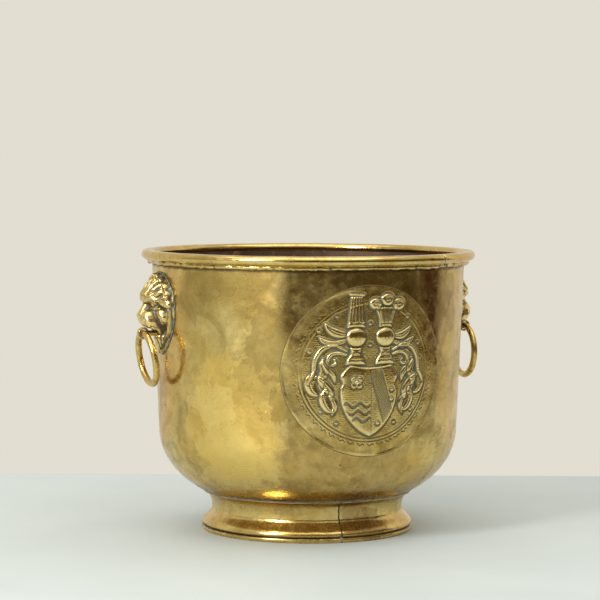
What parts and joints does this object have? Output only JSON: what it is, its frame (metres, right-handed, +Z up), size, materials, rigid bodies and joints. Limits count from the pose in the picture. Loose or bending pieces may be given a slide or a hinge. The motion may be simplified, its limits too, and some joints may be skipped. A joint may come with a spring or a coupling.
{
  "type": "planter pot",
  "caption": "Round footed pot in aged sheet brass with a moulded rim, a round embossed plaque and lion-mask drop-ring handles.",
  "frame": {"origin": "centre of the foot's base, on the surface that the pot stands on", "axes": "+Z up; -Y is the front with the plaque; the lion masks and rings are at -X (left) and +X (right)"},
  "size_m": [0.2736, 0.254, 0.213],
  "materials": {
    "bowl_brass": "polished and tarnished, mottled",
    "rim_brass": "worn polish",
    "foot_brass": "worn polish, brown in the hollows",
    "plaque_brass": "embossed, verdigris in the recesses",
    "mask_brass": "high spots polished, recesses dark",
    "ring_brass": "handled, dull polish",
    "fixing_brass": "dull, tarnished",
    "solder": "dull grey soft solder",
    "iron": "rusted black"
  },
  "bodies": {
    "root": {"bowl": "bowl_brass", "rim_moulding": "rim_brass", "rim_wire": "iron", "foot_ring": "foot_brass", "foot_wire": "iron", "foot_solder": "solder", "foot_seam_solder": "solder", "crest_plaque": "plaque_brass", "lion_mask_left": "mask_brass", "lion_mask_right": "mask_brass", "mask_solder_left": "solder", "mask_solder_right": "solder", "ring_eye_left": "ring_brass", "ring_eye_right": "ring_brass", "washer_left": "fixing_brass", "washer_right": "fixing_brass", "nut_left": "fixing_brass", "nut_right": "fixing_brass"},
    "ring_left": {"drop_ring_left": "ring_brass"},
    "ring_right": {"drop_ring_right": "ring_brass"}
  },
  "joints": [
    {"name": "left_ring_swing", "type": "hinge", "parent": "root", "child": "ring_left", "pos_m": [-0.13157, 0, 0.152], "axis": [0, 1, 0], "range_deg": [-9, 108]},
    {"name": "right_ring_swing", "type": "hinge", "parent": "root", "child": "ring_right", "pos_m": [0.13157, 0, 0.152], "axis": [0, -1, 0], "range_deg": [-19, 98]}
  ]
}
